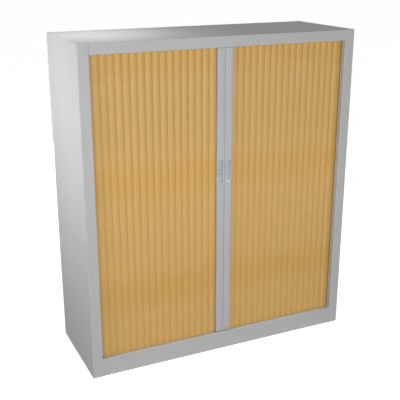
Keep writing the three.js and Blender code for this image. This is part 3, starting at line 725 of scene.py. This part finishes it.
def rail_outline(r, s, near, far, front, back, bead):
    """The section of a lead rail as [x, y]: a box with rounded edges, and a bead on a short neck
    that holds the hook of the first slat."""
    neck = math.degrees(math.asin(s.neck / 2 / s.bead_radius))
    edge = rounded_corner((near, front), (far, front), (far, back), r.edge_radius, 10)
    heel = rounded_corner((far, front), (far, back), (near, back), r.back_radius)
    meeting = rounded_corner((near, back), (near, front), (far, front), r.meeting_radius, 6)
    tail = rounded_corner((far, back), (near, back), (near, front), r.back_radius)
    return np.vstack((
        meeting,
        edge,
        [(far, bead[1] - s.neck / 2)],
        arc(bead, s.bead_radius, neck - 180, 180 - neck, 20),
        [(far, bead[1] + s.neck / 2)],
        heel,
        tail,
    ))


class MakeLeadRails(bpy.types.Operator):
    """Make the two extruded lead rails with their caps and shoes"""
    bl_idname = "cupboard.make_lead_rails"
    bl_label = "Lead rails"

    def execute(self, context):
        r, s, g = settings("rail"), settings("slat"), settings("grip")
        sill, head = high("base_panel")[2], low("top_panel")[2]
        bottom, top = sill + r.foot_gap, head - r.head_gap
        for word, side in SIDES.items():
            node = f"{word}_lead_rail"
            lo, hi = low(node), high(node)
            near, beads_end = span(node)
            bead = (beads_end - s.bead_radius, hung_places(s, side)[0][0][1])
            far = bead[0] - s.bead_inset - s.rib_gap / 2
            outline = rail_outline(r, s, near, far, lo[1], hi[1], bead)
            outline[:, 0] *= side
            skin = loft([in_plan(outline, bottom + r.cap), in_plan(outline, top - r.cap)])
            made = piece(f"{node}_section", skin, material("rail"), f"{word}_door", [node])
            grip = f"{word}_grip"
            centre = middle(grip)
            half = (high(grip) - low(grip)) / 2 - g.rim + s.play
            mouth = rounded_rectangle(half[0], half[2], g.corner - g.rim)
            carve(made, loft([
                facing_front(mouth, lo[1] - r.wall, centre), facing_front(mouth, hi[1] - r.wall, centre)]))
            carve(made, self.hook_slot(r, side, near, abs(centre[0])))
            self.add_caps(word, side, outline, bottom, top, lo, hi, near, s, r)
        return {"FINISHED"}

    @staticmethod
    def hook_slot(r, side, near, middle):
        """A block from before the meeting edge to the middle of the rail. It is as high as the
        hanging hook, and as thick as the hook with its play."""
        lo, hi = low("lock_hook"), high("lock_hook")
        outer, inner = side * (near - r.slot_play), side * middle
        front, back = lo[1] - r.slot_play, hi[1] + r.slot_play
        plan = np.array([(outer, front), (inner, front), (inner, back), (outer, back)])
        return loft([in_plan(plan, lo[2]), in_plan(plan, hi[2])])

    @staticmethod
    def add_caps(word, side, outline, bottom, top, lo, hi, near, s, r):
        """A cap at each end of the rail with the shoe that runs in the groove of the track."""
        middle_y = low(f"{word}_lower_track")[1] + s.track_half
        half = r.shoe_thickness / 2
        start, end = near + r.shoe_inset, near + r.shoe_inset + r.shoe_length
        front, back, rounding = middle_y - half, middle_y + half, half * 0.8
        shoe = rounded_outline([(start, front), (end, front), (end, back), (start, back)], rounding)
        shoe[:, 0] *= side
        ends = (("foot", bottom, bottom + r.cap, lo[2]), ("head", top, top - r.cap, hi[2]))
        for where, edge, inner, tip in ends:
            skin = joined([
                loft([in_plan(outline, edge), in_plan(outline, inner)]),
                loft([in_plan(shoe, edge), in_plan(shoe, tip)]),
            ])
            piece(f"{word}_rail_{where}", skin, material("grip"), f"{word}_door")


# The grips and the lock

class MakeGrips(bpy.types.Operator):
    """Make the moulded grips, with the lock's boss in the left one"""
    bl_idname = "cupboard.make_grips"
    bl_label = "Grips"

    def execute(self, context):
        g = settings("grip")
        for word in SIDES:
            node = f"{word}_grip"
            lo, hi = low(node), high(node)
            centre, half = middle(node), (hi - lo) / 2
            front, back = lo[1], hi[1]
            skin = self.cup(g, centre, half[0], half[2], front, back)
            if word == "left":
                barrel = (high("lock_barrel")[0] - low("lock_barrel")[0]) / 2
                skin = joined([skin, self.boss(g, centre, barrel, front, back)])
            piece(f"{word}_grip_moulding", skin, material("grip"), f"{word}_door", [node])
        return {"FINISHED"}

    @staticmethod
    def cup(g, centre, half_x, half_z, front, back):
        """Rounded rectangles, drawn in step by step: the floor of the recess, its leaning wall, the
        rolled lip, the flange, and back along the outside of the cup."""
        floor, mouth, outside = back - g.wall, g.rim + g.wall, g.rim + g.draft
        inner, ease, tightest = 4 * g.wall, 0.12 * g.flange, 0.6 * MM
        roll = np.radians(np.linspace(0, 90, 5))
        inset = [mouth + g.draft + inner, mouth + g.draft + g.lip, mouth + g.draft]
        depth = [floor, floor, floor - g.lip]
        inset += list(mouth - g.lip * (1 - np.cos(roll)))
        depth += list(front + g.lip * (1 - np.sin(roll)))
        inset += [g.lip / 2, ease, 0, 0, g.rim, outside, outside + inner]
        depth += [front, front + ease, front + g.flange / 2, front + g.flange, front + g.flange,
                  back, back]
        return loft([
            facing_front(rounded_rectangle(half_x - i, half_z - i, max(g.corner - i, tightest)), d, centre)
            for i, d in zip(inset, depth)])

    @staticmethod
    def boss(g, centre, barrel, front, back):
        """Circles round the lock, from the floor of the recess up to the face of the boss and down
        into its bore."""
        play, soft = 0.3 * MM, 0.5 * MM
        bore, outside = barrel + play, barrel + play + g.boss_wall
        face = front + g.boss_shy
        circle = arc((0, 0), 1, 0, 360, 48)[:-1]
        profile = [
            (bore, back), (outside, back), (outside, face + soft), (outside - soft, face),
            (bore + soft / 2, face), (bore, face + soft / 2)]
        points, faces = loft([facing_front(circle * radius, depth, centre) for radius, depth in profile])
        around = len(circle)
        ring_faces = faces[:-2]
        last = (len(profile) - 1) * around
        ring_faces += [[last + n, last + (n + 1) % around, (n + 1) % around, n] for n in range(around)]
        return points, ring_faces


class MakeLock(bpy.types.Operator):
    """Make the lock barrel with its keyway, and finish the hook"""
    bl_idname = "cupboard.make_lock"
    bl_label = "Lock"

    def execute(self, context):
        g = settings("grip")
        lo, hi = low("lock_barrel"), high("lock_barrel")
        centre = middle("lock_barrel")
        radius = (hi[0] - lo[0]) / 2
        circle = arc((0, 0), 1, 0, 360, 48)[:-1]
        half = np.array((g.key_width / 2, g.key_length / 2))
        # The keyway is the same circle pressed into a slot with nearly square corners
        squared = np.sign(circle) * np.abs(circle) ** 0.35 * half
        # A ring 0.7 mm wide and 0.25 mm deep is turned into the face, round the keyway
        face, chamfer, soft = lo[1], 0.5 * MM, 0.1 * MM
        ring = face + 0.25 * MM
        profile = [
            (squared * 0.7, face + g.key_depth), (squared, face + g.key_depth), (squared, face + soft),
            (squared + circle * soft, face), (circle * (radius - 2.2 * MM), face),
            (circle * (radius - 2.0 * MM), ring), (circle * (radius - 1.7 * MM), ring),
            (circle * (radius - 1.5 * MM), face), (circle * (radius - chamfer), face),
            (circle * radius, face + chamfer), (circle * radius, hi[1]), (circle * radius * 0.6, hi[1]),
        ]
        skin = loft([facing_front(outline, depth, centre) for outline, depth in profile])
        piece("lock_barrel_face", skin, material("nickel"), "lock", ["lock_barrel"])
        dress(["lock_hook"], "zinc")
        return {"FINISHED"}


# The feet

class MakeFeet(bpy.types.Operator):
    """Make the threaded levelling feet"""
    bl_idname = "cupboard.make_feet"
    bl_label = "Levelling feet"

    def execute(self, context):
        f = settings("foot")
        for number in range(1, 5):
            node = f"levelling_foot_{number}"
            lo, hi = low(node), high(node)
            centre = ((lo[0] + hi[0]) / 2, (lo[1] + hi[1]) / 2, lo[2])
            skin = joined([
                self.pad(f, centre), self.hexagon(f, centre), self.stud(f, centre, hi[2] - lo[2])])
            piece(f"{node}_turned", skin, material("zinc"), f"foot_{number}", [node])
        return {"FINISHED"}

    @staticmethod
    def pad(f, centre):
        """A turned pad: a rolled rim and a shallow cone up to the hexagon."""
        rim = arc((f.pad_radius - 2 * MM, 2 * MM), 2 * MM, -90, 60, 8)
        profile = [(1 * MM, 0.4 * MM), (f.pad_radius - 5 * MM, 0.4 * MM), (f.pad_radius - 4 * MM, 0)]
        profile += rim.tolist()
        seat = f.pad_height - f.hex_height
        profile += [(f.hex_flats / 2 + 1 * MM, seat), (1 * MM, seat)]
        return turned(profile, 48, centre)

    @staticmethod
    def hexagon(f, centre):
        """A hexagon for the spanner: the radius is half the flats over the cosine of the angle from
        the nearest flat, cut back by a cone at the top."""
        def shape(reach, height, angles):
            flat = (angles + np.pi / 6) % (np.pi / 3) - np.pi / 6
            return np.minimum(f.hex_flats / 2 / np.cos(flat), reach)
        base = f.pad_height - f.hex_height
        wide = f.hex_flats / 2 / math.cos(math.pi / 6)
        profile = [(1 * MM, base - 0.2 * MM), (wide, base - 0.2 * MM), (wide, f.pad_height - 0.6 * MM),
                   (wide - 0.6 * MM, f.pad_height - 0.15 * MM), (f.hex_flats / 2 - 0.4 * MM, f.pad_height),
                   (1 * MM, f.pad_height)]
        return turned(profile, 72, centre, shape)

    @staticmethod
    def stud(f, centre, top):
        """A thread: the radius falls by the thread's depth times a wave of the height over the pitch
        less the angle over a full turn, and the wave fades out at both ends."""
        def shape(reach, height, angles):
            turn = height / f.thread_pitch - angles / (2 * np.pi)
            groove = np.abs((turn % 1) * 2 - 1)
            fade = np.clip((height - f.pad_height) / f.thread_pitch, 0, 1) * np.clip(
                (top - 1 * MM - height) / f.thread_pitch, 0, 1)
            return reach - f.thread_depth * groove * fade
        heights = np.arange(f.pad_height - 0.5 * MM, top - 1 * MM, f.thread_pitch / 6)
        profile = [(f.stud_radius, z) for z in heights]
        profile += [(f.stud_radius, top - 1 * MM), (f.stud_radius - 1 * MM, top), (1 * MM, top)]
        return turned(profile, 20, centre, shape)


# The steel body

class FinishBody(bpy.types.Operator):
    """Paint the folded steel and finish the tracks"""
    bl_idname = "cupboard.finish_body"
    bl_label = "Steel body"

    def execute(self, context):
        steel = [name for name in NODES if name.endswith(("_panel", "_lining")) or "shelf_" in name]
        dress(steel, "paint")
        dress([name for name in NODES if name.endswith("_track")], "track")
        return {"FINISHED"}


class MakeSeals(bpy.types.Operator):
    """Make the brush strips behind the two uprights"""
    bl_idname = "cupboard.make_seals"
    bl_label = "Brush strips"

    def execute(self, context):
        e = settings("seal")
        bottom, top = high("base_panel")[2], low("top_panel")[2]
        for word, side in SIDES.items():
            reveal = span(f"{word}_side_panel")[0]
            seat = low(f"{word}_lower_track")[1] - e.hem_gap
            tip = low(f"{word}_slat_01")[1] - e.play
            skin = self.strip(e, side, reveal + e.setback, seat, tip, bottom, top)
            piece(f"{word}_brush_strip", skin, material("pile"), "carcass")
        return {"FINISHED"}

    @staticmethod
    def strip(e, side, near, seat, tip, bottom, top):
        """A section with a flat back and a rounded pile that leans inward, drawn at even heights. The
        pile is cut back at each height by a share that two sine waves of unlike length give."""
        far, ledge = near + e.width, seat + e.back
        root = (near + e.rim, far - e.rim)
        rings = []
        for z in np.arange(bottom + e.play, top - e.play, e.step):
            share = (2 + math.sin(z / (4.7 * MM)) + math.sin(z / (1.9 * MM))) / 4
            reach = tip - e.ragged * share
            section = np.array([
                (near, seat), (far, seat), (far, ledge), (root[1], ledge),
                (root[1], reach - 2 * e.rim), (root[1] - 0.6 * e.rim, reach - 0.6 * e.rim),
                (root[1] - 2 * e.rim, reach), (root[0] + 2 * e.rim, reach),
                (root[0] + 0.6 * e.rim, reach - 0.6 * e.rim), (root[0], reach - 2 * e.rim),
                (root[0], ledge), (near, ledge)])
            section[4:10, 0] -= e.lean
            section[:, 0] *= side
            rings.append(in_plan(section, z))
        return loft(rings)


class MakeRivets(bpy.types.Operator):
    """Make the blind rivets that hold the back panel"""
    bl_idname = "cupboard.make_rivets"
    bl_label = "Rivets"

    def execute(self, context):
        v = settings("rivet")
        lo, hi = low("left_side_panel"), high("right_side_panel")
        face = hi[1]
        count = math.ceil((hi[2] - lo[2] - 2 * v.inset) / v.spacing)
        heights = np.linspace(lo[2] + 3 * v.inset, hi[2] - 3 * v.inset, count)
        heads = [self.head(v, (side * (hi[0] - v.inset), face, z)) for side in (-1, 1) for z in heights]
        piece("back_rivets", joined(heads), material("paint"), "carcass")
        return {"FINISHED"}

    @staticmethod
    def head(v, place):
        """A dome whose height falls with the square of the radius, with the mandrel's hole in it."""
        radius = np.linspace(v.stem_radius, v.head_radius, 6)
        rise = v.head_height * (1 - (radius / v.head_radius) ** 2)
        radius = np.concatenate(([v.stem_radius * 0.9] * 2, radius, [v.head_radius, v.stem_radius]))
        rise = np.concatenate(([0.1 * MM, rise[0] * 0.9], rise, [-0.2 * MM, -0.2 * MM]))
        circle = arc((0, 0), 1, 0, 360, 20)[:-1]
        return loft([
            facing_front(circle * r, place[1] + h, (place[0], place[2])) for r, h in zip(radius, rise)])


# The stage

def aimed(name, data, place, target):
    """An object at a place that looks at a target."""
    made = new_object(name, data)
    made.location = place
    made.rotation_euler = (Vector(target) - Vector(place)).to_track_quat("-Z", "Y").to_euler()
    return made


def area_lamp(name, place, target, size, power, spread=180):
    lamp = bpy.data.lights.new(name, "AREA")
    lamp.shape = "RECTANGLE"
    lamp.size, lamp.size_y = size
    lamp.energy = power
    lamp.spread = math.radians(spread)
    aimed(name, lamp, place, target)


def sees_background(tree):
    """1 for camera, glossy and transmission rays, and 0 for the rest."""
    path = add_node(tree, "ShaderNodeLightPath")
    seen = add_node(
        tree, "ShaderNodeMath", links={0: path.outputs["Is Camera Ray"], 1: path.outputs["Is Glossy Ray"]},
        operation="MAXIMUM")
    return add_node(
        tree, "ShaderNodeMath", links={0: seen.outputs[0], 1: path.outputs["Is Transmission Ray"]},
        operation="MAXIMUM").outputs[0]


class SetStage(bpy.types.Operator):
    """Set the floor, the light and the camera"""
    bl_idname = "cupboard.set_stage"
    bl_label = "Stage"

    def execute(self, context):
        t = settings("stage")
        self.add_floor(t)
        self.add_light(t)
        self.add_camera(t)
        context.scene.view_settings.view_transform = "Standard"
        return {"FINISHED"}

    @staticmethod
    def add_floor(t):
        half = t.floor_size / 2
        mesh = bpy.data.meshes.new("floor")
        corners = [(-half, -half, 0), (half, -half, 0), (half, half, 0), (-half, half, 0)]
        mesh.from_pydata(corners, [], [(0, 1, 2, 3)])
        floor = new_object("floor", mesh)
        made, tree, shader = new_material("pale seamless floor")
        shader.inputs["Base Color"].default_value = linear("B8B8B8")
        shader.inputs["Roughness"].default_value = 0.9
        shader.inputs["Specular IOR Level"].default_value = 0.0
        # The glow and the light that falls on the floor add up to white outside the shadow
        share = add_node(
            tree, "ShaderNodeMath", {1: 0.92}, {0: sees_background(tree)}, operation="MULTIPLY")
        tree.links.new(share.outputs[0], shader.inputs["Emission Strength"])
        mesh.materials.append(made)

    @staticmethod
    def add_light(t):
        world = bpy.data.worlds.new("studio")
        world.use_nodes = True
        tree = world.node_tree
        tree.nodes.clear()
        even = add_node(tree, "ShaderNodeBackground", {"Color": (1, 1, 1, 1), "Strength": t.world_strength})
        white = add_node(tree, "ShaderNodeBackground", {"Color": (1, 1, 1, 1), "Strength": 1.0})
        mix = add_node(
            tree, "ShaderNodeMixShader",
            links={0: sees_background(tree), 1: even.outputs[0], 2: white.outputs[0]})
        add_node(tree, "ShaderNodeOutputWorld", links={"Surface": mix.outputs[0]})
        bpy.context.scene.world = world
        area_lamp("front", (0.3, -4.5, 1.1), (0, 0, 0.7), (1.0, 2.0), 78)
        area_lamp("beside_camera", (-1.5, -3.0, 1.9), (0, 0, 0.7), (0.8, 0.8), 20)
        area_lamp("low_left", (-3.0, -3.0, 0.5), (0, 0, 0.7), (1.6, 0.8), 10)
        area_lamp("grazing", (-3.0, -1.0, 0.9), (0, -0.2, 0.7), (0.8, 0.8), 9)
        area_lamp("right_side", (3.2, 0.1, 0.7), (0.6, 0.1, 0.7), (0.5, 1.0), 19)
        area_lamp("behind", (0, 3.8, 0.55), (0, 0, 0.6), (1.1, 1.0), 80)
        area_lamp("over_sill", (0, -0.27, 1.28), (0, -0.205, 0.08), (1.1, 0.03), 0.3, 22)
        # These four draw the soft falls of light on the side and the top
        area_lamp("left_side", (-2.6, 0.1, 1.2), (-0.6, 0.1, 1.12), (0.9, 0.3), 3.4, 56)
        area_lamp("left_corner", (-2.6, -0.7, 1.2), (-0.4, -0.15, 1.12), (0.9, 0.3), 1.0, 56)
        area_lamp("over_corner", (-0.8, 0.25, 2.1), (-0.65, 0.05, 1.36), (0.4, 0.4), 0.31, 60)
        area_lamp("over_top", (-0.55, 0.15, 2.0), (-0.42, 0.02, 1.36), (0.5, 0.4), 0.84, 60)

    @staticmethod
    def add_camera(t):
        data = bpy.data.cameras.new("camera")
        data.lens = t.camera_lens
        data.sensor_width = 36
        bpy.context.scene.camera = aimed("camera", data, t.camera_place, t.camera_target)


OPERATORS = (
    FinishBody, MakeSlats, MakeLeadRails, MakeGrips, MakeLock, MakeFeet, MakeSeals, MakeRivets, SetStage)


class CUPBOARD_PT_panel(bpy.types.Panel):
    """Lists the pieces and the stage"""
    bl_label = "Tambour door cupboard"
    bl_space_type = "VIEW_3D"
    bl_region_type = "UI"
    bl_category = "Cupboard"

    def draw(self, context):
        for operator in OPERATORS:
            self.layout.operator(operator.bl_idname, text=operator.bl_label)


CLASSES = (*GROUPS.values(), *OPERATORS, CUPBOARD_PT_panel)


def register():
    for cls in CLASSES:
        bpy.utils.register_class(cls)
    for group, cls in GROUPS.items():
        setattr(bpy.types.Scene, f"cupboard_{group}", bpy.props.PointerProperty(type=cls))


def unregister():
    for group in GROUPS:
        delattr(bpy.types.Scene, f"cupboard_{group}")
    for cls in reversed(CLASSES):
        bpy.utils.unregister_class(cls)


def main():
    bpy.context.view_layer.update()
    register()
    bpy.ops.cupboard.finish_body()
    bpy.ops.cupboard.make_slats()
    bpy.ops.cupboard.make_lead_rails()
    bpy.ops.cupboard.make_grips()
    bpy.ops.cupboard.make_lock()
    bpy.ops.cupboard.make_feet()
    bpy.ops.cupboard.make_seals()
    bpy.ops.cupboard.make_rivets()
    bpy.ops.cupboard.set_stage()


if __name__ == "__main__":
    main()
